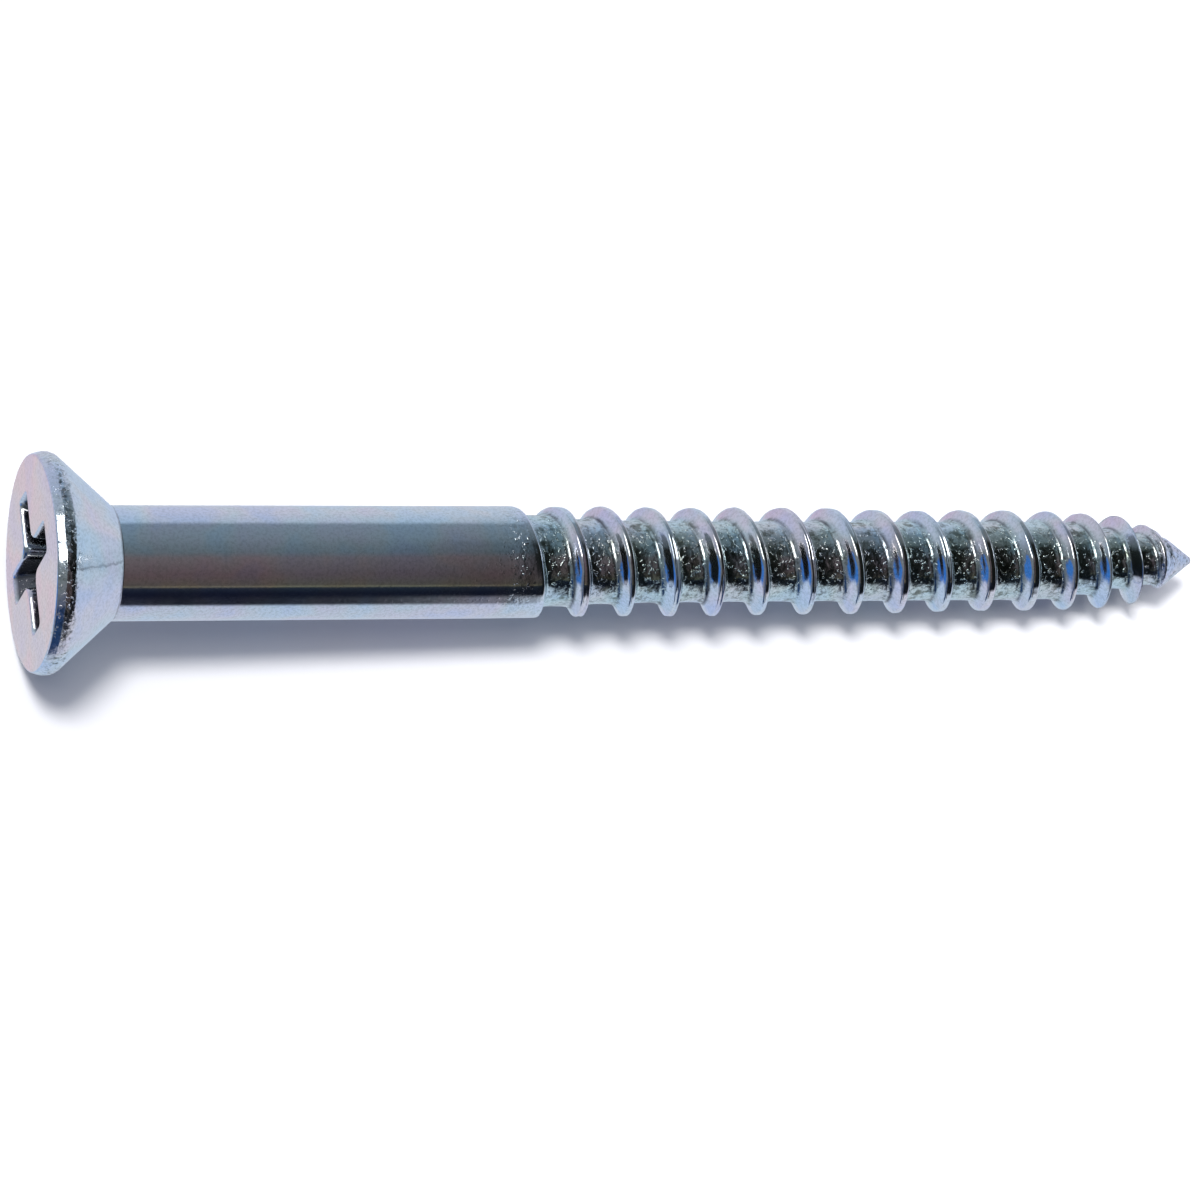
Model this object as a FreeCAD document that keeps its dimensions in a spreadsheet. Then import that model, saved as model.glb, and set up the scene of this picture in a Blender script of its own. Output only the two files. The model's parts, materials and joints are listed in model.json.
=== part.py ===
import FreeCAD, Part
import math
import os

import Sketcher

# Countersunk cross-recess wood screw, 4 x 45 mm, made as the real one is: a cold-headed blank with its recess
# punched in, and a thread groove cut along it.
#
# Frame: the origin is the centre of the head's flat face. +X runs along the axis from the head to the point,
# +Z is up, and lengths are in millimetres.

Vector = FreeCAD.Vector

SIZES = {
    # whole screw
    "screw_length": 45.0,
    "shank_diameter": 4.0,
    # head
    "head_diameter": 7.66,
    "head_land": 0.69,
    "face_edge_radius": 0.2,
    "land_edge_radius": 0.45,
    "countersink_angle": 82.0,
    "neck_radius": 0.1,
    # cross recess, size 2
    "recess_span": 4.9,
    "recess_floor_span": 2.3,
    "recess_wing_width": 1.08,
    "recess_floor_wing_width": 0.72,
    "recess_depth": 2.75,
    "recess_pit_diameter": 1.9,
    "recess_pit_floor_diameter": 1.3,
    "recess_cone_depth": 3.25,
    "recess_turn": 81.0,
    # outside of the threaded length, which narrows towards the point
    "shank_end": 16.9,
    "full_crest_end": 29.5,
    "full_crest_diameter": 3.96,
    "narrow_crest_start": 33.0,
    "narrow_crest_diameter": 3.76,
    "last_crest_start": 40.2,
    "last_crest_diameter": 3.66,
    "last_crest_end": 42.55,
    "end_crest_diameter": 3.24,
    "stub_start": 42.95,
    "stub_diameter": 2.26,
    # blunt point
    "point_start": 43.55,
    "tip_diameter": 0.24,
    # thread
    "thread_pitch": 1.78,
    "thread_start": 17.4,
    "thread_start_angle": 235.0,
    "thread_end": 43.3,
    "root_diameter": 2.9,
    "root_width": 1.12,
    "root_corner_radius": 0.2,
    "head_wall_lean": 20.0,
    "tip_wall_lean": 30.0,
    "cutter_depth": 0.62,
    # the groove dives in from the shank, steeply at first
    "plunge_rise": 0.34,
    "plunge_length": 0.35,
    "runout_rise": 0.28,
    "runout_length": 2.2,
    # and its root narrows before the point
    "taper_start": 38.2,
    "taper_end": 42.6,
    "taper_drop": 0.36,
}


def make_sheet(document):
    """The driving dimensions, one to a row, each cell under its own name."""
    sheet = document.addObject("Spreadsheet::Sheet", "Sizes")
    for row, (name, value) in enumerate(SIZES.items(), start=1):
        sheet.set(f"A{row}", name)
        sheet.set(f"B{row}", str(value))
        sheet.setAlias(f"B{row}", name)
    document.recompute()
    return sheet


def origin_plane(body, role):
    """One of the body's own origin planes, such as XY_Plane."""
    return next(item for item in body.Origin.OriginFeatures if item.Role == role)


def new_sketch(body, name, role):
    """An empty sketch on an origin plane of the body."""
    sketch = body.newObject("Sketcher::SketchObject", name)
    sketch.AttachmentSupport = [(origin_plane(body, role), "")]
    sketch.MapMode = "FlatFace"
    return sketch


def hold(sketch, kind, corner, name, expression, value):
    """Binds one coordinate of a corner to the sheet. A coordinate of 0 lies on the sketch's axis instead."""
    if expression == "0":
        across = {"DistanceX": -2, "DistanceY": -1}[kind]
        sketch.addConstraint(Sketcher.Constraint("PointOnObject", corner, 1, across))
        return
    index = sketch.addConstraint(Sketcher.Constraint(kind, -1, 1, corner, 1, value))
    sketch.renameConstraint(index, name)
    sketch.setExpression(f"Constraints.{name}", expression)


def draw_outline(sketch, corners):
    """A closed outline of straight lines, each corner given as a pair of expressions on the sheet."""
    places = [[float(sketch.evalExpression(text)) for text in pair] for pair in corners]
    points = [Vector(x, y, 0) for x, y in places]
    count = len(points)
    for i in range(count):
        sketch.addGeometry(Part.LineSegment(points[i], points[(i + 1) % count]))
    for i in range(count):
        sketch.addConstraint(Sketcher.Constraint("Coincident", i, 2, (i + 1) % count, 1))
    for i, ((x_text, y_text), (x, y)) in enumerate(zip(corners, places)):
        hold(sketch, "DistanceX", i, f"along_{i}", x_text, x)
        hold(sketch, "DistanceY", i, f"across_{i}", y_text, y)


def draw_rectangle(sketch, wide, tall):
    """A rectangle centred on the sketch's origin, its sides given as expressions on the sheet."""
    half_w, half_t = f"{wide} / 2", f"{tall} / 2"
    signs = ((-1, -1), (1, -1), (1, 1), (-1, 1))
    draw_outline(sketch, [(f"{a} * {half_w}", f"{b} * {half_t}") for a, b in signs])


def circle_edges(feature, along, radius):
    """Names of the feature's whole circles about the axis at one place along it."""
    names = []
    for index, edge in enumerate(feature.Shape.Edges, start=1):
        curve = edge.Curve
        if isinstance(curve, Part.Circle) and abs(curve.Radius - radius) < 1e-4:
            if abs(curve.Center.x - along) < 1e-4:
                names.append(f"Edge{index}")
    return names


def round_edges(body, name, base, places, radius_name):
    """A fillet on the base feature's circles at the given (along, radius) places."""
    edges = [edge for along, radius in places for edge in circle_edges(base, along, radius)]
    if len(edges) != len(places):
        raise RuntimeError(f"{name}: found {len(edges)} circles of {len(places)}")
    fillet = body.newObject("PartDesign::Fillet", name)
    fillet.Base = (base, edges)
    fillet.setExpression("Radius", f"Sizes.{radius_name}")
    body.Document.recompute()
    return fillet


def make_outside(body, sheet):
    """The blank turned about the axis: head, countersink, shank, thread envelope, stub and point."""
    neck = (
        "Sizes.head_land + (Sizes.head_diameter - Sizes.shank_diameter) / 2"
        " / tan(Sizes.countersink_angle * 1 deg / 2)"
    )
    sketch = new_sketch(body, "OutsideProfile", "XY_Plane")
    draw_outline(
        sketch,
        [
            ("0", "0"),
            ("0", "Sizes.head_diameter / 2"),
            ("Sizes.head_land", "Sizes.head_diameter / 2"),
            (neck, "Sizes.shank_diameter / 2"),
            ("Sizes.shank_end", "Sizes.shank_diameter / 2"),
            ("Sizes.full_crest_end", "Sizes.full_crest_diameter / 2"),
            ("Sizes.narrow_crest_start", "Sizes.narrow_crest_diameter / 2"),
            ("Sizes.last_crest_start", "Sizes.last_crest_diameter / 2"),
            ("Sizes.last_crest_end", "Sizes.end_crest_diameter / 2"),
            ("Sizes.stub_start", "Sizes.stub_diameter / 2"),
            ("Sizes.point_start", "Sizes.stub_diameter / 2"),
            ("Sizes.screw_length", "Sizes.tip_diameter / 2"),
            ("Sizes.screw_length", "0"),
        ],
    )
    outside = body.newObject("PartDesign::Revolution", "Outside")
    outside.Profile = sketch
    outside.ReferenceAxis = (sketch, ["H_Axis"])
    outside.Angle = 360.0
    body.Document.recompute()
    neck_at = float(sketch.evalExpression(neck))
    head = sheet.head_diameter / 2
    rim = round_edges(body, "FaceEdge", outside, [(0.0, head)], "face_edge_radius")
    land = round_edges(body, "LandEdge", rim, [(sheet.head_land, head)], "land_edge_radius")
    return round_edges(body, "Neck", land, [(neck_at, sheet.shank_diameter / 2)], "neck_radius")


def cut_wings(body, name, turn):
    """One bar of the cross: two opposite wings, tapering from the face to the recess floor."""
    mouth = new_sketch(body, f"{name}Mouth", "YZ_Plane")
    floor = new_sketch(body, f"{name}Floor", "YZ_Plane")
    draw_rectangle(mouth, "Sizes.recess_span", "Sizes.recess_wing_width")
    draw_rectangle(floor, "Sizes.recess_floor_span", "Sizes.recess_floor_wing_width")
    for sketch in (mouth, floor):
        sketch.setExpression("AttachmentOffset.Rotation.Angle", turn)
    floor.setExpression("AttachmentOffset.Base.z", "Sizes.recess_depth")
    body.Document.recompute()
    wings = body.newObject("PartDesign::SubtractiveLoft", name)
    wings.Profile = mouth
    wings.Sections = [floor]
    wings.Ruled = True
    body.Document.recompute()
    return wings


def cut_pit(body):
    """The round middle of the recess, with its cone-shaped floor."""
    sketch = new_sketch(body, "PitProfile", "XY_Plane")
    draw_outline(
        sketch,
        [
            ("0", "0"),
            ("0", "Sizes.recess_pit_diameter / 2"),
            ("Sizes.recess_depth", "Sizes.recess_pit_floor_diameter / 2"),
            ("Sizes.recess_cone_depth", "0"),
        ],
    )
    pit = body.newObject("PartDesign::Groove", "Pit")
    pit.Profile = sketch
    pit.ReferenceAxis = (sketch, ["H_Axis"])
    pit.Angle = 360.0
    body.Document.recompute()
    return pit


def must_be_smaller(feature, before):
    """Stops if a cut took nothing away."""
    if feature.Shape.Volume > before - 0.01:
        raise RuntimeError(f"{feature.Name} removed nothing")
    return feature.Shape.Volume


def make_blank(document, sheet):
    """The headed blank with its cross recess, before threading."""
    body = document.addObject("PartDesign::Body", "Blank")
    outside = make_outside(body, sheet)
    volume = outside.Shape.Volume
    # Seen from the head with +Z up, the first bar is turned anticlockwise from the horizontal.
    volume = must_be_smaller(cut_wings(body, "WingsA", "-Sizes.recess_turn * 1 deg"), volume)
    volume = must_be_smaller(cut_wings(body, "WingsB", "(90 - Sizes.recess_turn) * 1 deg"), volume)
    must_be_smaller(cut_pit(body), volume)
    return body


def smooth_step(start, end, value):
    """0 before start, 1 after end, with a smooth change between."""
    t = min(max((value - start) / (end - start), 0.0), 1.0)
    return t * t * (3.0 - 2.0 * t)


def root_radius(sheet, along):
    """Radius of the thread's root: it dives in from the shank, runs straight, then narrows to the point."""
    from_start = along - sheet.thread_start
    plunge = sheet.plunge_rise * math.exp(-from_start / sheet.plunge_length)
    runout = sheet.runout_rise * math.exp(-from_start / sheet.runout_length)
    taper = sheet.taper_drop * smooth_step(sheet.taper_start, sheet.taper_end, along)
    return sheet.root_diameter / 2 + plunge + runout - taper


def thread_route(sheet):
    """The right-hand helix that the middle of the groove's floor follows, split into half turns."""
    per_turn = 24
    turns = (sheet.thread_end - sheet.thread_start) / sheet.thread_pitch
    points = []
    for step in range(int(turns * per_turn) + 1):
        along = sheet.thread_start + sheet.thread_pitch * step / per_turn
        angle = math.radians(sheet.thread_start_angle) + 2.0 * math.pi * step / per_turn
        radius = root_radius(sheet, along)
        points.append(Vector(along, radius * math.cos(angle), radius * math.sin(angle)))
    curve = Part.BSplineCurve()
    curve.interpolate(points)
    pieces = round(2 * turns)
    span = (curve.LastParameter - curve.FirstParameter) / pieces
    cuts = [curve.FirstParameter + span * i for i in range(pieces + 1)]
    return Part.Wire([Part.Edge(curve, low, high) for low, high in zip(cuts, cuts[1:])])


def rounded_corner(before, corner, after, radius):
    """The arc that rounds one corner of an outline: its first point, middle point and last point."""
    back = (before - corner).normalize()
    ahead = (after - corner).normalize()
    half_angle = back.getAngle(ahead) / 2
    reach = radius / math.tan(half_angle)
    middle = (back + ahead).normalize() * (radius / math.sin(half_angle) - radius)
    return corner + back * reach, corner + middle, corner + ahead * reach


def groove_section(sheet, start, outward):
    """The groove's outline: a flat floor with rounded corners, between two walls that lean apart."""
    along = Vector(1, 0, 0)
    half = sheet.root_width / 2
    depth = sheet.cutter_depth
    head_lean = depth * math.tan(math.radians(sheet.head_wall_lean))
    tip_lean = depth * math.tan(math.radians(sheet.tip_wall_lean))
    places = [(-half - head_lean, depth), (-half, 0.0), (half, 0.0), (half + tip_lean, depth)]
    head_top, head_floor, tip_floor, tip_top = (start + along * x + outward * r for x, r in places)
    radius = sheet.root_corner_radius
    head_arc = rounded_corner(head_top, head_floor, tip_floor, radius)
    tip_arc = rounded_corner(head_floor, tip_floor, tip_top, radius)
    edges = [
        Part.LineSegment(head_top, head_arc[0]),
        Part.Arc(*head_arc),
        Part.LineSegment(head_arc[2], tip_arc[0]),
        Part.Arc(*tip_arc),
        Part.LineSegment(tip_arc[2], tip_top),
        Part.LineSegment(tip_top, head_top),
    ]
    return Part.Wire([edge.toShape() for edge in edges])


def make_groove(document, sheet):
    """The cutter's path as a solid: the groove's outline swept along the helix."""
    route = thread_route(sheet)
    start = route.OrderedVertexes[0].Point
    outward = Vector(0, start.y, start.z).normalize()
    sweep = Part.BRepOffsetAPI.MakePipeShell(route)
    sweep.setBiNormalMode(Vector(1, 0, 0))
    sweep.add(groove_section(sheet, start, outward))
    sweep.build()
    sweep.makeSolid()
    groove = document.addObject("Part::Feature", "ThreadGroove")
    groove.Shape = sweep.shape()
    return groove


def make_screw(document, blank, groove):
    """The finished screw: the blank less the thread groove."""
    screw = document.addObject("Part::Cut", "Screw")
    screw.Label = "wood_screw"
    screw.Base = blank
    screw.Tool = groove
    screw.Placement = FreeCAD.Placement()
    document.recompute()
    return screw


def check_document(document, nodes):
    """Stops on any object that failed to build and on any sub-part that is not one sound solid."""
    for item in document.Objects:
        if {"Invalid", "Error"} & set(item.State):
            raise RuntimeError(f"{item.Name} failed: {item.State}")
    for node in nodes:
        shape = node.Shape
        if shape.isNull() or not shape.isValid() or len(shape.Solids) != 1:
            raise RuntimeError(f"{node.Label} is not one valid solid")
        print(f"{node.Label}: {shape.Volume:.2f} mm3, {len(shape.Faces)} faces, {shape.BoundBox}")


def main():
    document = FreeCAD.newDocument("WoodScrew")
    sheet = make_sheet(document)
    blank = make_blank(document, sheet)
    groove = make_groove(document, sheet)
    screw = make_screw(document, blank, groove)
    check_document(document, [screw])
    os.makedirs("parts", exist_ok=True)
    screw.Shape.Solids[0].exportStep(f"parts/{screw.Label}.step")


main()
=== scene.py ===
import json
import math

import bmesh
import bpy
import numpy as np
from mathutils import Matrix, Vector


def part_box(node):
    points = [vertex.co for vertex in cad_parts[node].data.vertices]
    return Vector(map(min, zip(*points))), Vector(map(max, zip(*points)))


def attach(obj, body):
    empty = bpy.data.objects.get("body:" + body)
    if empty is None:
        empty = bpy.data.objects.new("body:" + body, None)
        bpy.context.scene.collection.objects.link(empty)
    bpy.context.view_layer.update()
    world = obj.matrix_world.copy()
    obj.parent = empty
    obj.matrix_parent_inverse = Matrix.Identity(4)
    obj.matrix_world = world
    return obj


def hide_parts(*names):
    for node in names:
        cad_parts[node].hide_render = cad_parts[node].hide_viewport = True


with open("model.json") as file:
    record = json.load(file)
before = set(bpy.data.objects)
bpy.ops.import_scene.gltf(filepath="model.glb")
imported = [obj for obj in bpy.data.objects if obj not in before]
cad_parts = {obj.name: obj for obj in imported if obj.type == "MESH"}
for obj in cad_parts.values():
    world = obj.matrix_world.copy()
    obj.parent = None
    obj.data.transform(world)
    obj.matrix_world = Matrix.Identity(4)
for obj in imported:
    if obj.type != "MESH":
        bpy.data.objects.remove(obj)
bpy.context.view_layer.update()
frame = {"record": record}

# Wood screw. Lengths are in millimetres in the part's frame, where x runs from the head's face to the point.
# MM turns them into metres where Blender takes them.
MM = 0.001
TURN = 2.0 * math.pi

low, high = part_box("wood_screw")
mounts = {mount["name"]: mount for mount in frame["record"]["mounts"]}
LENGTH = high[0] / MM
HEAD_R = high[2] / MM
SHANK_R = mounts["shank"]["dims"]["r_mm"]

# head
FACE_DOME = 0.06
FACE_EDGE_R = 0.09
FACE_MARGIN = 0.5
BEVEL_LENGTH = 0.3
BEVEL_DROP = 0.09
BEVEL_R = 0.25
LAND = 0.69
LAND_EDGE_R = 0.45
CONE_SLOPE = math.tan(math.radians(41.0))
NECK_X = LAND + (HEAD_R - SHANK_R) / CONE_SLOPE
NECK_R = 0.06
# cross recess: a pair is the value at the mouth and at the floor
RECESS_TURN = math.radians(9.0)
WING_SPAN = (4.9, 2.3)
WING_WIDTH = (1.08, 0.72)
WING_END_R = 0.2
HUB_ROUND = (0.5, 0.3)
RECESS_DEPTH = 2.75
RECESS_CONE = 3.25
MOUTH_ROUND = 0.09
# thread
PITCH = 1.78
GROOVE_START = 17.4
GROOVE_ANGLE = math.radians(235.0)
ROOT_R = 1.45
ROOT_WIDTH = 1.12
HEAD_WALL = math.tan(math.radians(20.0))
TIP_WALL = math.tan(math.radians(30.0))
VALLEY_ROUND = 0.1
WALL_FOOT_ROUND = 0.16
CREST_EDGE_ROUND = 0.05
# middle of the crest, measured from the middle of the groove on its point side
CREST_MIDDLE = -0.85
# the root dives in from the shank, as fading steps of height and length
ROOT_DIVE = ((0.34, 0.35), (0.28, 2.2))
# and narrows by this much in radius near the point
ROOT_TAPER = 0.56
ROOT_TAPER_ZONE = (38.2, 43.6)
# radius of the outside, as places along the axis and radii
OUTSIDE = (
    (0.0, SHANK_R),
    (17.0, SHANK_R),
    (29.5, 1.98),
    (33.0, 1.9),
    (38.5, 1.87),
    (41.0, 1.8),
    (42.0, 1.72),
    (42.8, 1.64),
    (43.1, 1.28),
    (43.4, 1.17),
    (43.6, 1.04),
    (LENGTH, 0.1),
)
# Near the point the pitch tightens to this share.
SQUEEZE = 0.81
SQUEEZE_FROM = 38.4
SQUEEZE_BLEND = 0.9
WIDTH_SQUEEZE_POWER = 1.3
# The crests stray a little from an even spacing.
STRAY_AT = (17.0, 19.0, 23.0, 26.5, 32.0, 36.0, 42.0, 46.0)
STRAY = (0.0, 0.1, 0.0, -0.12, 0.15, 0.1, 0.3, 0.0)
# where the crests' unevenness fades in and out again
CRESTS_START = (17.6, 18.6)
CRESTS_END = (43.6, 42.8)
# where the metal is rough: a band before the thread, as its middle and spread, and the point
RUN_IN = (17.2, 0.35)
ROUGH_POINT = (42.9, 43.2)
# mesh
AROUND = 144
ROWS_PER_PITCH = 28
LONGEST_STEP = 0.35
THREAD_ZONE = 16.6
THREAD_BLEND = 0.4
TIP_RING = LENGTH - 0.1


def smooth_step(start, end, value):
    """0 before start, 1 after end, with a smooth change between."""
    t = np.clip((value - start) / (end - start), 0.0, 1.0)
    return t * t * (3.0 - 2.0 * t)


def soft_max(a, b, width):
    """The larger of two values, with the corner where they cross rounded over the given width."""
    return 0.5 * (a + b + np.sqrt((a - b) ** 2 + width**2))


def soft_min(a, b, width):
    """The smaller of two values, with a rounded corner."""
    return -soft_max(-a, -b, width)


def wobble(value, seed, lowest):
    """A smooth random-looking wave, mostly between -1 and 1. Its longest period is about 1 / lowest."""
    waves = 7
    step_up = 0.73
    fade = 0.45
    full_height = 2.2
    rng = np.random.default_rng(seed)
    total = np.zeros_like(np.asarray(value, dtype=float))
    for order in range(waves):
        frequency = lowest * (1.0 + step_up * order) * rng.uniform(0.85, 1.15)
        total = total + np.sin(TURN * (value * frequency + rng.uniform())) / (1.0 + fade * order)
    return total / full_height


def grain(x, around, seed, size):
    """Fine bumps over a surface, from crossed waves about one size long. All lengths are in millimetres."""
    waves = 26
    rng = np.random.default_rng(seed)
    total = np.zeros_like(x)
    for _ in range(waves):
        heading = rng.uniform(0.0, TURN)
        rate = rng.uniform(0.6, 1.7) / size
        across = x * math.cos(heading) + around * math.sin(heading)
        total = total + np.sin(TURN * (across * rate + rng.uniform()))
    return total / math.sqrt(waves)


def outside_radius(x):
    """Radius of the threaded part's outside, which narrows towards the point."""
    places, radii = zip(*OUTSIDE)
    return np.interp(x, places, radii)


def root_radius(x):
    """Radius of the groove's root: it dives in from the shank, runs straight, then narrows to the point."""
    from_start = np.maximum(x - GROOVE_START, -1.0)
    dive = sum(height * np.exp(-from_start / length) for height, length in ROOT_DIVE)
    return ROOT_R + dive - ROOT_TAPER * smooth_step(*ROOT_TAPER_ZONE, x)


def root_grain(x, theta):
    """Height of the fine roughness on the groove's root."""
    arc = theta * ROOT_R
    return grain(x, arc, seed=5, size=0.5) * 0.003 + grain(x, arc, seed=6, size=0.2) * 0.0012


def crest_relief(ridge, from_crest):
    """Height of a crest over its even outline. ridge is the place along the helix, in turns.

    The rolled metal didn't quite meet there, so the crest is uneven, with a shallow seam here and there.
    """
    seam_depth = 0.05
    seam_width = 0.05
    flattening = 0.012
    seam_here = smooth_step(0.0, 0.5, wobble(ridge, seed=21, lowest=0.6))
    seam = seam_depth * seam_here * np.exp(-((from_crest / seam_width) ** 2))
    burr = 0.022 * wobble(ridge, seed=22, lowest=0.8) + 0.012 * wobble(ridge, seed=23, lowest=5.0)
    return burr - seam - flattening


def thread_surface(lin, theta):
    """Radius, place along the axis, groove share and share of painted shade of the threaded surface.

    lin is the place along the axis before the pitch tightens towards the point, theta the angle about it.
    """
    x = np.minimum(lin, SQUEEZE_FROM + (lin - SQUEEZE_FROM) * SQUEEZE) + np.interp(lin, STRAY_AT, STRAY)
    squeezed = smooth_step(SQUEEZE_FROM - SQUEEZE_BLEND, SQUEEZE_FROM + SQUEEZE_BLEND, lin)
    tight = 1.0 - (1.0 - SQUEEZE) * squeezed
    # the nearest groove: the place along its helix in turns, and the distance across it
    middle = GROOVE_START + PITCH * (theta - GROOVE_ANGLE) / TURN
    turns = np.round((lin - middle) / PITCH)
    helix = turns + (theta - GROOVE_ANGLE) / TURN
    across = (lin - middle - turns * PITCH) * tight
    slow = wobble(helix, seed=11, lowest=0.35)
    quick = wobble(helix, seed=12, lowest=2.1)
    width = (ROOT_WIDTH + 0.06 * slow + 0.03 * quick) * tight**WIDTH_SQUEEZE_POWER
    # the groove: a root between two leaning walls
    head_wall = (-across - width / 2) / HEAD_WALL
    tip_wall = (across - width / 2) / TIP_WALL
    wall = soft_max(soft_max(head_wall, tip_wall, VALLEY_ROUND), 0.0, WALL_FOOT_ROUND)
    groove = root_radius(x - across) + wall
    groove = groove + root_grain(x, theta) * smooth_step(0.45, 0.0, wall)
    # the crest beside it
    ridge = helix - (across < 0.0)
    pitch = PITCH * tight
    from_crest = (across - CREST_MIDDLE + pitch / 2) % pitch - pitch / 2
    threaded = smooth_step(*CRESTS_START, x) * smooth_step(*CRESTS_END, x)
    outside = outside_radius(x) + threaded * crest_relief(ridge, from_crest)
    radius = soft_min(outside, groove, CREST_EDGE_ROUND)
    # how much this is the groove's floor: low on the wall, and where the groove is really cut; the material
    # darkens it with a stain of painted shade
    floor = smooth_step(0.2, 0.06, wall) * smooth_step(0.0, 0.15, outside - groove)
    # a dark line of painted shade in the corner at the foot of the wall
    from_foot = across - width / 2 + 0.02
    shade_here = smooth_step(-0.6, 0.4, wobble(helix, seed=24, lowest=1.3))
    corner = np.exp(-((from_foot / 0.035) ** 2)) * shade_here
    return radius, x, floor, corner * floor


class Lattice:
    """Collects vertices, faces and three painted values: pitted surface, thread groove (darkened with a
    stain and painted shade) and painted shade.
    """

    # In metres: vertices this close are merged, and edges this short are removed.
    MERGE = 2e-6
    SLIVER = 1e-7

    def __init__(self):
        self.points = []
        self.faces = []
        self.pitted = []
        self.groove = []
        self.crease = []

    def add(self, points, pitted, groove=0.0, crease=0.0):
        """Adds an array of points and returns their indices in the same layout."""
        shape = points.shape[:-1]
        first = len(self.points)
        self.points.extend(points.reshape(-1, 3))
        self.pitted.extend(np.broadcast_to(pitted, shape).reshape(-1))
        self.groove.extend(np.broadcast_to(groove, shape).reshape(-1))
        self.crease.extend(np.broadcast_to(crease, shape).reshape(-1))
        return np.arange(first, first + int(np.prod(shape))).reshape(shape)

    def skin(self, rings):
        """Quads between successive closed rings."""
        for near, far in zip(rings, rings[1:]):
            for j in range(AROUND):
                k = (j + 1) % AROUND
                self.faces.append((near[j], near[k], far[k], far[j]))

    def cap(self, ring, point):
        """Closes a ring with a fan of triangles to a point."""
        centre = int(self.add(np.array([point]), self.pitted[ring[0]])[0])
        for j in range(AROUND):
            self.faces.append((ring[j], ring[(j + 1) % AROUND], centre))

    def mesh(self, name):
        """The finished mesh in metres, with touching vertices merged."""
        mesh = bpy.data.meshes.new(name)
        mesh.from_pydata([tuple(point * MM) for point in self.points], [], self.faces)
        for label, values in (("pitted", self.pitted), ("groove", self.groove), ("crease", self.crease)):
            layer = mesh.attributes.new(label, "FLOAT", "POINT")
            layer.data.foreach_set("value", np.asarray(values, dtype=np.float32))
        work = bmesh.new()
        work.from_mesh(mesh)
        bmesh.ops.remove_doubles(work, verts=work.verts, dist=self.MERGE)
        bmesh.ops.dissolve_degenerate(work, edges=work.edges, dist=self.SLIVER)
        bmesh.ops.recalc_face_normals(work, faces=work.faces)
        for face in work.faces:
            face.smooth = True
        work.to_mesh(mesh)
        work.free()
        return mesh


ANGLES = RECESS_TURN + TURN * np.arange(AROUND) / AROUND


def ring_points(x, radius, angles=ANGLES):
    """Points at radius and angle about the axis. The angle runs from +Y towards +Z."""
    x, radius, angles = np.broadcast_arrays(x, radius, angles)
    return np.stack([x, radius * np.cos(angles), radius * np.sin(angles)], axis=-1)


def arc_points(centre, radius, start, end, count):
    """Points on an arc, without its last one."""
    angles = np.radians(np.linspace(start, end, count, endpoint=False))
    return [(centre[0] + radius * math.cos(a), centre[1] + radius * math.sin(a)) for a in angles]


def line_points(start, end, count):
    """Points on a line, without its last one."""
    return [tuple(p) for p in np.linspace(start, end, count, endpoint=False)]


def cross_outline(span, width, hub):
    """The cross recess's outline at one depth: four wings with rounded corners between them.

    Each quarter has 36 points, so that the whole outline has AROUND of them.
    """
    reach = span / 2
    half = width / 2
    tip = min(WING_END_R, half * 0.6)
    bend = half + hub
    quarter = line_points((reach, 0.0), (reach, half - tip), 3)
    quarter += arc_points((reach - tip, half - tip), tip, 0, 90, 5)
    quarter += line_points((reach - tip, half), (bend, half), 6)
    quarter += arc_points((bend, bend), hub, -90, -180, 8)
    quarter += line_points((half, bend), (half, reach - tip), 6)
    quarter += arc_points((half - tip, reach - tip), tip, 0, 90, 5)
    quarter += line_points((half - tip, reach), (0.0, reach), 3)
    points = np.array(quarter)
    turned = [points]
    for _ in range(3):
        points = np.stack([-points[:, 1], points[:, 0]], axis=-1)
        turned.append(points)
    outline = np.concatenate(turned)
    c, s = math.cos(RECESS_TURN), math.sin(RECESS_TURN)
    return np.stack([outline[:, 0] * c - outline[:, 1] * s, outline[:, 0] * s + outline[:, 1] * c], axis=-1)


def recess_ring(share, grow=0.0):
    """The recess's outline at a share of its depth, optionally grown all round."""
    span, width, hub = (a + (b - a) * share for a, b in (WING_SPAN, WING_WIDTH, HUB_ROUND))
    return cross_outline(span + 2 * grow, width + 2 * grow, hub - grow)


def at_depth(outline, x):
    """An outline in Y and Z as points at one place along the axis."""
    return np.column_stack([np.full(len(outline), x), outline])


def build_recess(lattice):
    """The cross recess from its pointed floor up to its rounded mouth. Returns the mouth's ring."""
    rings = []
    floor = recess_ring(1.0)
    # Painted shade darkens the pointed floor, through both the shade value and the groove stain.
    for size in (0.02, 0.25, 0.5, 0.75, 0.92):
        depth = RECESS_DEPTH + (RECESS_CONE - RECESS_DEPTH) * (1.0 - size)
        rings.append(lattice.add(at_depth(floor * size, depth), pitted=0.3, groove=0.9, crease=0.7))
    for share in np.linspace(1.0, 0.06, 14):
        points = at_depth(recess_ring(share), share * RECESS_DEPTH)
        # Painted shade darkens the walls, more at the ends of the wings than at the hub; the groove value
        # adds the stain's painted shade with depth.
        from_axis = np.hypot(points[:, 1], points[:, 2])
        shade = 0.3 + 0.1 * share + 0.55 * smooth_step(0.8, 1.5, from_axis)
        rings.append(lattice.add(points, pitted=0.12, groove=0.9 * share, crease=shade))
    for angle in np.radians([15, 40, 65, 90]):
        grow = MOUTH_ROUND * (1.0 - math.cos(angle))
        depth = MOUTH_ROUND * (1.0 - math.sin(angle))
        rings.append(lattice.add(at_depth(recess_ring(0.0, grow), depth), pitted=0.05))
    lattice.skin(rings)
    lattice.cap(rings[0], (RECESS_CONE, 0.0, 0.0))
    return rings[-1]


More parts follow.
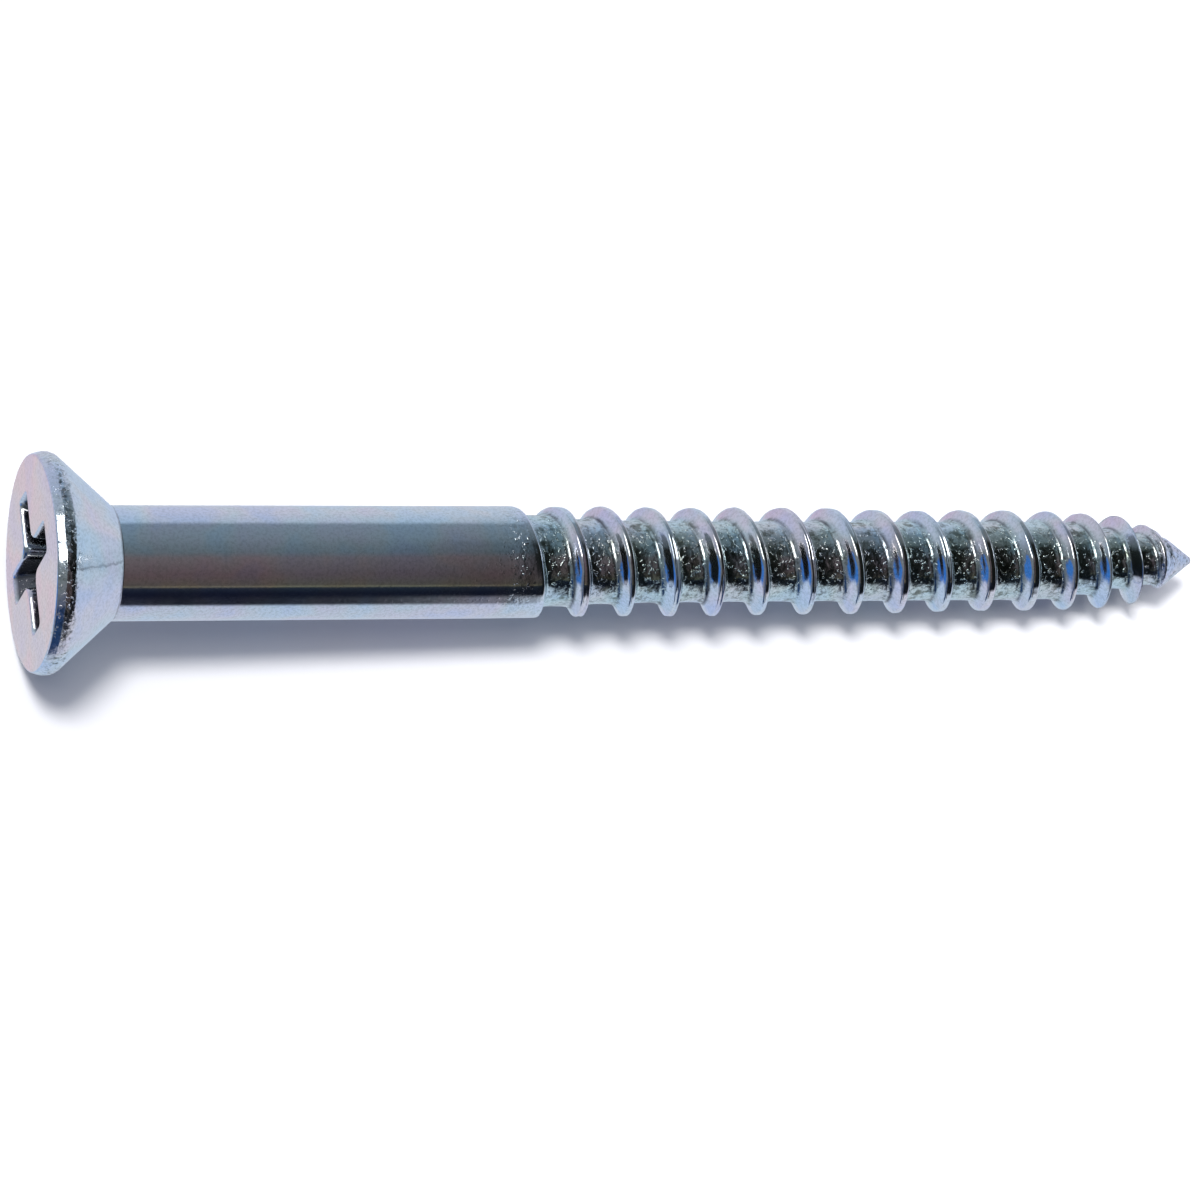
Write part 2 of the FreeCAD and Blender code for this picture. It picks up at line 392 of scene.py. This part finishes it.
def rounded_path(corners, radii, steps=7):
    """A path through the corners, each inner corner rounded by its radius."""
    path = [np.array(corners[0])]
    for before, corner, after, radius in zip(corners, corners[1:], corners[2:], radii):
        before, corner, after = np.array(before), np.array(corner), np.array(after)
        back = (before - corner) / np.linalg.norm(before - corner)
        ahead = (after - corner) / np.linalg.norm(after - corner)
        half_angle = math.acos(float(np.clip(back @ ahead, -1, 1))) / 2
        centre = corner + (back + ahead) / np.linalg.norm(back + ahead) * radius / math.sin(half_angle)
        start = corner + back * radius / math.tan(half_angle) - centre
        end = corner + ahead * radius / math.tan(half_angle) - centre
        for t in np.linspace(0.0, 1.0, steps):
            spoke = start * (1.0 - t) + end * t
            path.append(centre + spoke / np.linalg.norm(spoke) * radius)
    path.append(np.array(corners[-1]))
    return path


def divided(path, longest):
    """The same path with long stretches divided."""
    points = [path[0]]
    for start, end in zip(path, path[1:]):
        count = max(1, math.ceil(np.linalg.norm(end - start) / longest))
        points.extend(start + (end - start) * i / count for i in range(1, count + 1))
    return points


def face_height(radius):
    """How far the very slightly domed face has fallen at a radius."""
    return FACE_DOME * (radius / HEAD_R) ** 2


def rim_share(x):
    """How rough the rim is at a place along the axis: a quarter on the bevel, and fully on the land."""
    on_bevel = smooth_step(FACE_DOME + 0.02, FACE_DOME + 0.1, x)
    on_land = smooth_step(FACE_DOME + 0.2, FACE_DOME + 0.36, x)
    before_cone = smooth_step(LAND + 0.22, LAND - 0.08, x)
    return (0.25 * on_bevel + 0.75 * on_land) * before_cone


def draw_lines():
    """Height of the faint lines that drawing left along the wire, at each angle."""
    return 0.002 * wobble(ANGLES / TURN, seed=32, lowest=3.0)


def build_head(lattice, mouth):
    """The face round the recess, then the bevel, the rim, the countersink, the neck and the plain shank."""
    inner = np.array([lattice.points[i] for i in mouth])
    margin = HEAD_R - FACE_MARGIN
    corners = [
        (face_height(margin), margin),
        (FACE_DOME, HEAD_R - BEVEL_DROP),
        (FACE_DOME + BEVEL_LENGTH, HEAD_R),
        (LAND, HEAD_R),
        (NECK_X, SHANK_R),
        (THREAD_ZONE, SHANK_R),
    ]
    path = rounded_path(corners, (FACE_EDGE_R, BEVEL_R, LAND_EDGE_R, NECK_R))
    edge = ring_points(0.0, margin)
    rings = [mouth]
    for share in (0.12, 0.3, 0.5, 0.7, 0.85):
        points = inner * (1.0 - share) + edge * share
        points[:, 0] = face_height(np.hypot(points[:, 1], points[:, 2]))
        rings.append(lattice.add(points, pitted=0.05))
    for x, radius in divided(path, LONGEST_STEP):
        on_rim = rim_share(x)
        dents = 0.012 * on_rim * grain(np.full(AROUND, x), ANGLES * HEAD_R, seed=31, size=0.4)
        points = ring_points(x, radius + dents + draw_lines() * (x > LAND))
        rings.append(lattice.add(points, pitted=0.01 + 0.99 * on_rim))
    lattice.skin(rings)


def thread_rows():
    """Places of the rows across one pitch, closer together over the crest and its edges."""
    even = np.arange(ROWS_PER_PITCH) / ROWS_PER_PITCH
    crowd = 0.09 * np.sin(TURN * (even - 0.045))
    return (even + crowd) * PITCH


def build_thread(lattice):
    """Rows that follow the helix, cut off square at the shank and at the tip."""
    end = SQUEEZE_FROM + (TIP_RING - SQUEEZE_FROM) / SQUEEZE
    first = GROOVE_START - 2 * PITCH
    pitches = math.ceil((end + PITCH - first) / PITCH)
    base = np.concatenate([first + thread_rows() + PITCH * n for n in range(pitches)])
    theta = ANGLES[None, :]
    lin = base[:, None] + PITCH * (theta - GROOVE_ANGLE) / TURN
    lin = np.clip(lin, THREAD_ZONE, end)
    theta = np.broadcast_to(theta, lin.shape)
    # The last value is the painted shade in the corners at the foot of the walls.
    radius, x, groove, crease = thread_surface(lin, theta)
    # The first rows match the shank's last ring.
    plain = smooth_step(THREAD_ZONE + THREAD_BLEND, THREAD_ZONE, lin)
    radius = radius * (1.0 - plain) + (SHANK_R + draw_lines()[None, :]) * plain
    run_in = np.exp(-(((x - RUN_IN[0]) / RUN_IN[1]) ** 2))
    near_point = smooth_step(*ROUGH_POINT, x)
    pitted = 0.02 + 0.48 * groove + 0.3 * run_in + 0.6 * near_point
    rows = lattice.add(ring_points(x, radius, theta), np.clip(pitted, 0, 1), groove, crease)
    for i in range(len(base) - 1):
        for j in range(AROUND):
            # One turn on, a row carries on as the row one pitch further along.
            k, m = (i, j + 1) if j + 1 < AROUND else (i + ROWS_PER_PITCH, 0)
            if k + 1 < len(base):
                lattice.faces.append((rows[i, j], rows[k, m], rows[k + 1, m], rows[i + 1, j]))


def build_tip(lattice):
    """The small rounded end of the point."""
    start = outside_radius(TIP_RING)
    rings = []
    for angle in np.radians([0, 30, 60]):
        x = TIP_RING + (LENGTH - TIP_RING) * math.sin(angle)
        rings.append(lattice.add(ring_points(x, start * math.cos(angle) * np.ones(AROUND)), 1.0))
    lattice.skin(rings)
    lattice.cap(rings[-1], (LENGTH, 0.0, 0.0))


def screw_mesh():
    """The whole screw as one closed mesh."""
    lattice = Lattice()
    build_head(lattice, build_recess(lattice))
    build_thread(lattice)
    build_tip(lattice)
    return lattice.mesh("screw")


class Nodes:
    """Short calls for building one node tree."""

    def __init__(self, tree):
        self.tree = tree

    def add(self, kind, **values):
        """A node with its properties and unlinked inputs set by name."""
        node = self.tree.nodes.new(kind)
        for name, value in values.items():
            if name in node.inputs:
                node.inputs[name].default_value = value
            else:
                setattr(node, name, value)
        return node

    def link(self, source, target):
        """Joins an output to an input."""
        self.tree.links.new(source, target)

    def painted(self, label):
        """The value painted on the mesh under a label."""
        return self.add("ShaderNodeAttribute", attribute_name=label).outputs["Fac"]

    def split(self, vector):
        """The X, Y and Z of a vector."""
        node = self.add("ShaderNodeSeparateXYZ")
        self.link(vector, node.inputs[0])
        return node.outputs

    def math(self, operation, *values):
        """A Math node's output. Each value is a number or a socket."""
        node = self.tree.nodes.new("ShaderNodeMath")
        node.operation = operation
        for socket, value in zip(node.inputs, values):
            if isinstance(value, (int, float)):
                socket.default_value = value
            else:
                self.link(value, socket)
        return node.outputs[0]

    def ramp(self, value, stops):
        """A Color Ramp's output. Stops are (place, colour) pairs, and a number stands for a grey."""
        node = self.tree.nodes.new("ShaderNodeValToRGB")
        elements = node.color_ramp.elements
        while len(elements) < len(stops):
            elements.new(0.5)
        for element, (place, colour) in zip(elements, stops):
            element.position = place
            grey = isinstance(colour, (int, float))
            element.color = (colour, colour, colour, 1.0) if grey else (*colour, 1.0)
        self.link(value, node.inputs[0])
        return node.outputs[0]

    def mix(self, factor, a, b, blend="MIX"):
        """A colour Mix node's output. Each of a and b is a colour or a socket."""
        node = self.tree.nodes.new("ShaderNodeMix")
        node.data_type = "RGBA"
        node.blend_type = blend
        # A Mix node has a set of inputs and an output for each data type. These are the ones for colour.
        for socket, value in zip((node.inputs[0], node.inputs[6], node.inputs[7]), (factor, a, b)):
            if isinstance(value, (int, float)):
                socket.default_value = value
            elif isinstance(value, tuple):
                socket.default_value = (*value, 1.0)
            else:
                self.link(value, socket)
        return node.outputs[2]

    def noise(self, vector, scale, detail, roughness):
        """A noise texture's value. Scale is in waves to the metre."""
        node = self.add("ShaderNodeTexNoise", Scale=scale, Detail=detail, Roughness=roughness)
        self.link(vector, node.inputs["Vector"])
        return node.outputs["Fac"]


WHITE = (1.0, 1.0, 1.0)
# The colour of the painted shade, and of the die line and the neck line.
DARK_LINE_AND_SHADE = (0.1, 0.1, 0.11)
# where the halves of the heading die met, as an angle from +Y towards +Z, and the line's slant down the cone
DIE_ANGLE = math.radians(126.0)
DIE_SLANT = 0.07


def plating_colour(nodes, place, fine, pitted, groove):
    """Thin-film tints a few millimetres across with a fine grain, darkened where the metal was worked, and
    with a stain of painted shade in the grooves and the recess.
    """
    tint = nodes.ramp(
        nodes.noise(place, 420.0, 3.0, 0.5),
        [
            (0.33, (0.77, 0.84, 0.96)),
            (0.43, (0.81, 0.89, 0.93)),
            (0.50, (0.87, 0.88, 0.87)),
            (0.58, (0.91, 0.85, 0.88)),
            (0.66, (0.82, 0.82, 0.94)),
        ],
    )
    dust = nodes.ramp(nodes.noise(place, 9000.0, 3.0, 0.7), [(0.38, (0.84, 0.85, 0.84)), (0.56, 1.0)])
    grained = nodes.mix(1.0, tint, dust, "MULTIPLY")
    # dark pits in the worked metal, and a blotchy stain of painted shade in the thread's grooves and the
    # recess
    speckle = nodes.ramp(fine, [(0.36, (0.24, 0.25, 0.24)), (0.44, (0.82, 0.82, 0.8)), (0.5, 1.0)])
    blotch = nodes.noise(place, 1700.0, 4.0, 0.65)
    stain_and_shade = nodes.ramp(blotch, [(0.37, (0.34, 0.38, 0.33)), (0.46, (0.86, 0.96, 0.92))])
    worn = nodes.mix(pitted, WHITE, speckle)
    stained_and_shaded = nodes.mix(groove, WHITE, stain_and_shade)
    return nodes.mix(1.0, nodes.mix(1.0, grained, worn, "MULTIPLY"), stained_and_shaded, "MULTIPLY")


def ragged(nodes, distance, fine, size):
    """A distance in metres made uneven by a fine noise. size is in millimetres."""
    return nodes.math("MULTIPLY_ADD", nodes.math("SUBTRACT", fine, 0.5), size * MM, distance)


def die_line(nodes, place, fine):
    """A faint broken line down one side of the cone, where the halves of the heading die met."""
    x, y, z = nodes.split(place)
    upward = nodes.math("MULTIPLY", z, math.cos(DIE_ANGLE))
    off_plane = nodes.math("SUBTRACT", upward, nodes.math("MULTIPLY", y, math.sin(DIE_ANGLE)))
    slanted = nodes.math("MULTIPLY_ADD", x, DIE_SLANT, off_plane)
    off_line = nodes.math("ABSOLUTE", ragged(nodes, slanted, fine, 0.3))
    line = nodes.ramp(nodes.math("MULTIPLY", off_line, 1.0 / MM), [(0.02, 0.4), (0.07, 0.0)])
    this_side = nodes.math("GREATER_THAN", z, 0.0)
    # The ramp covers 5 mm of length, so the line starts at 0.75 to 0.9 mm and ends at the neck.
    along_cone = nodes.math("MULTIPLY", x, 0.2 / MM)
    on_cone = nodes.ramp(along_cone, [(0.15, 0.0), (0.18, 1.0), (0.56, 1.0), (0.57, 0.0)])
    return nodes.math("MULTIPLY", nodes.math("MULTIPLY", line, this_side), on_cone)


def neck_line(nodes, place, fine):
    """The dark line round the neck."""
    x = nodes.split(place)[0]
    to_neck = nodes.math("ABSOLUTE", nodes.math("SUBTRACT", x, (NECK_X - 0.02) * MM))
    off_neck = nodes.math("MULTIPLY", ragged(nodes, to_neck, fine, 0.12), 1.0 / MM)
    return nodes.ramp(off_neck, [(0.01, 0.5), (0.06, 0.0)])


def plating_roughness(nodes, place, fine, pitted):
    """Smooth where drawn or struck by a die, duller where pitted."""
    patch = nodes.noise(place, 900.0, 3.0, 0.6)
    smooth_part = nodes.math("MULTIPLY_ADD", patch, 0.10, 0.05)
    dull = nodes.math("MULTIPLY", nodes.math("MULTIPLY", pitted, fine), 0.16)
    return nodes.math("ADD", smooth_part, dull)


def plating_relief(nodes, place, pitted):
    """Height in millimetres: draw lines along the shank, a slight orange peel, and pits where worked."""
    stretch = nodes.add("ShaderNodeMapping", Scale=(0.04, 1.0, 1.0))
    nodes.link(place, stretch.inputs["Vector"])
    draw = nodes.math("MULTIPLY", nodes.noise(stretch.outputs[0], 9000.0, 2.0, 0.6), 0.0002)
    peel = nodes.math("MULTIPLY_ADD", nodes.noise(place, 2600.0, 2.0, 0.5), 0.0004, draw)
    specks = nodes.ramp(nodes.noise(place, 7000.0, 2.0, 0.5), [(0.6, 0.0), (0.68, 1.0)])
    specked = nodes.math("MULTIPLY_ADD", nodes.math("MULTIPLY", specks, pitted), 0.03, peel)
    pits = nodes.math("MULTIPLY", nodes.noise(place, 5000.0, 3.0, 0.5), pitted)
    return nodes.math("MULTIPLY_ADD", pits, 0.02, specked)


def zinc_material():
    """Bright zinc plate with a blue passivate: a mirror with faint tints, pitted where it was worked, and
    darkened with painted shade in the grooves, corners and recess.
    """
    material = bpy.data.materials.new("zinc_plated_steel")
    material.use_nodes = True
    nodes = Nodes(material.node_tree)
    shader = material.node_tree.nodes["Principled BSDF"]
    shader.inputs["Metallic"].default_value = 1.0
    place = nodes.add("ShaderNodeTexCoord").outputs["Object"]
    fine = nodes.noise(place, 5200.0, 4.0, 0.6)
    pitted = nodes.painted("pitted")
    groove = nodes.painted("groove")

    colour = plating_colour(nodes, place, fine, pitted, groove)
    lines = nodes.math("MAXIMUM", die_line(nodes, place, fine), neck_line(nodes, place, fine))
    # Painted shade in the thread's corners and the recess, with the die line and the neck line.
    shade_and_lines = nodes.math("MAXIMUM", nodes.painted("crease"), lines)
    nodes.link(nodes.mix(shade_and_lines, colour, DARK_LINE_AND_SHADE), shader.inputs["Base Color"])
    nodes.link(plating_roughness(nodes, place, fine, pitted), shader.inputs["Roughness"])

    bump = nodes.add("ShaderNodeBump", Strength=1.0, Distance=MM)
    nodes.link(plating_relief(nodes, place, pitted), bump.inputs["Height"])
    nodes.link(bump.outputs["Normal"], shader.inputs["Normal"])
    return material


def floor_material():
    """A pale matt floor."""
    material = bpy.data.materials.new("pale_floor")
    material.use_nodes = True
    shader = material.node_tree.nodes["Principled BSDF"]
    shader.inputs["Base Color"].default_value = (0.9, 0.9, 0.92, 1.0)
    shader.inputs["Roughness"].default_value = 0.9
    shader.inputs["Specular IOR Level"].default_value = 0.0
    return material


# The screw rests on the rim of its head and on the last crests of its thread.
# Each pair is a place along the axis and the radius there.
REST_HEAD = (0.4, HEAD_R)
REST_TIP = (40.3, 1.86)
FLOOR_SLOPE = (REST_HEAD[1] - REST_TIP[1]) / (REST_TIP[0] - REST_HEAD[0])


def floor_height(x):
    """Height of the floor under a place along the axis."""
    return -REST_HEAD[1] + (x - REST_HEAD[0]) * FLOOR_SLOPE


def build_floor():
    """A pale floor, touching the screw where it rests."""
    reach = 1500.0
    square = ((-reach, -reach), (reach, -reach), (reach, reach), (-reach, reach))
    corners = [(x, y, floor_height(x)) for x, y in square]
    mesh = bpy.data.meshes.new("floor")
    mesh.from_pydata([Vector(corner) * MM for corner in corners], [], [(0, 1, 2, 3)])
    floor = bpy.data.objects.new("floor", mesh)
    bpy.context.collection.objects.link(floor)
    mesh.materials.append(floor_material())
    # The metal reflects the studio in the world instead.
    floor.visible_glossy = False


# The camera looks down on the screw from beyond the head. ROLL_UP is its height, as an angle about the axis,
# and SIDE_ON is how far it stands from square on. The three FACE lengths place the middle of the face: ahead
# of the camera, left of its line of sight and above it.
ROLL_UP = math.radians(59.0)
SIDE_ON = math.radians(21.26)
CAMERA_ROLL = math.radians(0.35)
FACE_DEPTH = 141.8
FACE_LEFT = 19.49
FACE_UP = 1.25
FIELD = math.radians(16.4417)


def section_direction(angle):
    """Unit vector across the axis: 0 towards the camera's side, 90 degrees up."""
    return Vector((0.0, -math.cos(angle), math.sin(angle)))


def build_camera():
    """The camera, at the photo's angle."""
    toward = section_direction(ROLL_UP)
    forward = Vector((math.sin(SIDE_ON), 0.0, 0.0)) - toward * math.cos(SIDE_ON)
    level_up = Vector((0.0, math.sin(ROLL_UP), math.cos(ROLL_UP)))
    level_right = forward.cross(level_up)
    up = level_up * math.cos(CAMERA_ROLL) + level_right * math.sin(CAMERA_ROLL)
    right = forward.cross(up)
    spot = (right * FACE_LEFT - up * FACE_UP - forward * FACE_DEPTH) * MM
    data = bpy.data.cameras.new("camera")
    data.angle = FIELD
    data.clip_start = 0.005
    data.clip_end = 10.0
    camera = bpy.data.objects.new("camera", data)
    bpy.context.collection.objects.link(camera)
    basis = Matrix((right, up, -forward)).transposed().to_4x4()
    camera.matrix_world = Matrix.Translation(spot) @ basis
    bpy.context.scene.camera = camera


def build_lamp(name, energy, spread, lean, angle):
    """A soft lamp far away. Spread and angle are in degrees: its size, and its direction about the axis.

    Lean is how far its direction tips along the axis, below 0 towards the head.
    """
    data = bpy.data.lights.new(name, "SUN")
    data.energy = energy
    data.angle = math.radians(spread)
    data.color = (1.0, 0.99, 0.97)
    lamp = bpy.data.objects.new(name, data)
    bpy.context.collection.objects.link(lamp)
    toward = Vector((lean, 0.0, 0.0)) + section_direction(math.radians(angle))
    lamp.rotation_euler = toward.to_track_quat("Z", "Y").to_euler()
    # The world holds the lamps' reflections.
    lamp.visible_glossy = False


def build_fill():
    """A small soft fill beyond the point and above it, which lightens the end of the shadow."""
    data = bpy.data.lights.new("fill", "POINT")
    data.energy = 0.015
    data.shadow_soft_size = 15.0 * MM
    lamp = bpy.data.objects.new("fill", data)
    bpy.context.collection.objects.link(lamp)
    beyond = Vector((LENGTH + 9.0, 0.0, 0.0))
    above = section_direction(math.radians(75.0)) * 30.0
    lamp.location = (beyond + above) * MM
    lamp.visible_glossy = False
    lamp.visible_camera = False


def build_lamps():
    """The key makes the shadow, and the wide lamp softens it."""
    build_lamp("key", energy=2.25, spread=17.0, lean=-0.3, angle=91.0)
    build_lamp("wide", energy=0.95, spread=55.0, lean=-0.25, angle=92.0)


def srgb(red, green, blue):
    """A colour given on the 0 to 255 display scale, as linear light."""
    return tuple((value / 255.0) ** 2.2 for value in (red, green, blue))


def around(*stops):
    """Ramp stops given by their angle about the screw: 0 level on the camera's side, 90 overhead."""
    return [((degrees + 180.0) / 360.0, colour) for degrees, colour in stops]


# What the metal reflects, as bands about the screw: square on, towards the point and towards the head
MIDDLE_BANDS = around(
    (-180, srgb(194, 204, 222)),
    (-121, srgb(198, 208, 224)),
    (-40, srgb(186, 200, 222)),
    (-34, srgb(30, 34, 44)),
    (-6, srgb(26, 30, 44)),
    (8, srgb(40, 48, 60)),
    (9.5, srgb(136, 132, 110)),
    (11.5, srgb(84, 80, 74)),
    (35, srgb(90, 80, 84)),
    (68, srgb(104, 98, 104)),
    (80, srgb(96, 108, 118)),
    (110, srgb(112, 128, 142)),
    (141, srgb(120, 138, 156)),
    (149, srgb(172, 192, 214)),
    (180, srgb(194, 204, 222)),
)
TIP_BANDS = around(
    (-180, srgb(204, 208, 224)),
    (-121, srgb(190, 206, 226)),
    (-22, srgb(206, 212, 228)),
    (-13, srgb(24, 28, 34)),
    (40, srgb(26, 28, 27)),
    (96, srgb(34, 36, 34)),
    (110, srgb(92, 100, 104)),
    (145, srgb(126, 136, 146)),
    (165, srgb(176, 184, 200)),
    (180, srgb(204, 208, 224)),
)
HEAD_BANDS = around(
    (-180, srgb(192, 196, 216)),
    (-145, srgb(194, 188, 214)),
    (-127, srgb(216, 202, 212)),
    (-116, srgb(214, 206, 216)),
    (-104, srgb(180, 200, 228)),
    (-55, srgb(190, 202, 226)),
    (-42, srgb(136, 146, 164)),
    (5, srgb(104, 112, 126)),
    (44, srgb(112, 120, 126)),
    (90, srgb(146, 154, 166)),
    (145, srgb(176, 186, 202)),
    (180, srgb(192, 196, 216)),
)
NAVY = srgb(38, 62, 100)
BLUE = srgb(62, 116, 194)
SKY = srgb(186, 204, 226)
FLOOR_FILL = srgb(100, 107, 130)
LAMP = (6.0, 6.0, 6.0)


def add_card(nodes, studio, along, share, along_stops, around_stops, colour):
    """The studio with a card or lamp added, between two places along the axis and two angles about it."""
    here = nodes.math("MULTIPLY", nodes.ramp(along, along_stops), nodes.ramp(share, around(*around_stops)))
    return nodes.mix(here, studio, colour)


def studio_colour(nodes, direction):
    """The soft bands, cards and strip lamp that the metal reflects, by direction."""
    x, y, z = nodes.split(direction)
    # place along the axis, from 0 at the head's end to 1 at the point's, and share of a turn about it
    along = nodes.math("MULTIPLY_ADD", x, 0.5, 0.5)
    angle = nodes.math("ARCTAN2", z, nodes.math("MULTIPLY", y, -1.0))
    share = nodes.math("MULTIPLY_ADD", angle, 1.0 / TURN, 0.5)
    middle = nodes.ramp(share, MIDDLE_BANDS)
    tip_end = nodes.ramp(share, TIP_BANDS)
    head_end = nodes.ramp(share, HEAD_BANDS)

    studio = nodes.mix(nodes.ramp(along, [(0.66, 0.0), (0.695, 1.0)]), middle, tip_end)
    # a pale card beyond the point
    studio = nodes.mix(nodes.ramp(along, [(0.95, 0.0), (0.972, 1.0)]), studio, SKY)
    # the dark corner that the hollow roots of the thread look into
    corner = nodes.ramp(along, [(0.5, 0.0), (0.53, 1.0), (0.598, 1.0), (0.608, 0.0)])
    studio = nodes.mix(corner, studio, tip_end)
    studio = nodes.mix(nodes.ramp(along, [(0.46, 1.0), (0.54, 0.0)]), studio, head_end)
    # a navy card for the bevel round the face
    studio = add_card(
        nodes, studio, along, share,
        [(0.27, 0.0), (0.30, 1.0), (0.41, 1.0), (0.44, 0.0)],
        [(-60, 0.0), (-52, 1.0), (4, 1.0), (26, 0.0)],
        NAVY,
    )
    # a blue card beyond the head, low on the camera's side
    studio = add_card(
        nodes, studio, along, share,
        [(0.08, 1.0), (0.125, 0.0)],
        [(-60, 0.0), (-50, 1.0), (12, 1.0), (24, 0.0)],
        BLUE,
    )
    # the strip lamp overhead, on the head's side
    return add_card(
        nodes, studio, along, share,
        [(0.26, 0.0), (0.29, 1.0), (0.39, 1.0), (0.42, 0.0)],
        [(58, 0.0), (66, 1.0), (98, 1.0), (112, 0.0)],
        LAMP,
    )


def build_world():
    """White to the camera, a little blue fill for the floor, and a studio for the metal."""
    world = bpy.data.worlds.new("studio")
    bpy.context.scene.world = world
    world.use_nodes = True
    world.node_tree.nodes.clear()
    nodes = Nodes(world.node_tree)
    studio = studio_colour(nodes, nodes.add("ShaderNodeTexCoord").outputs["Generated"])
    path = nodes.add("ShaderNodeLightPath")
    seen = nodes.mix(path.outputs["Is Diffuse Ray"], studio, FLOOR_FILL)
    final = nodes.mix(path.outputs["Is Camera Ray"], seen, WHITE)
    background = nodes.add("ShaderNodeBackground")
    nodes.link(final, background.inputs["Color"])
    output = nodes.add("ShaderNodeOutputWorld")
    nodes.link(background.outputs[0], output.inputs["Surface"])


def build_screw():
    """The screw, riding on the one body and standing for its CAD node."""
    screw = bpy.data.objects.new("screw", screw_mesh())
    bpy.context.collection.objects.link(screw)
    screw.data.materials.append(zinc_material())
    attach(screw, "root")
    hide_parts("wood_screw")


build_camera()
build_screw()
build_floor()
build_lamps()
build_fill()
build_world()
bpy.context.scene.view_settings.view_transform = "Standard"
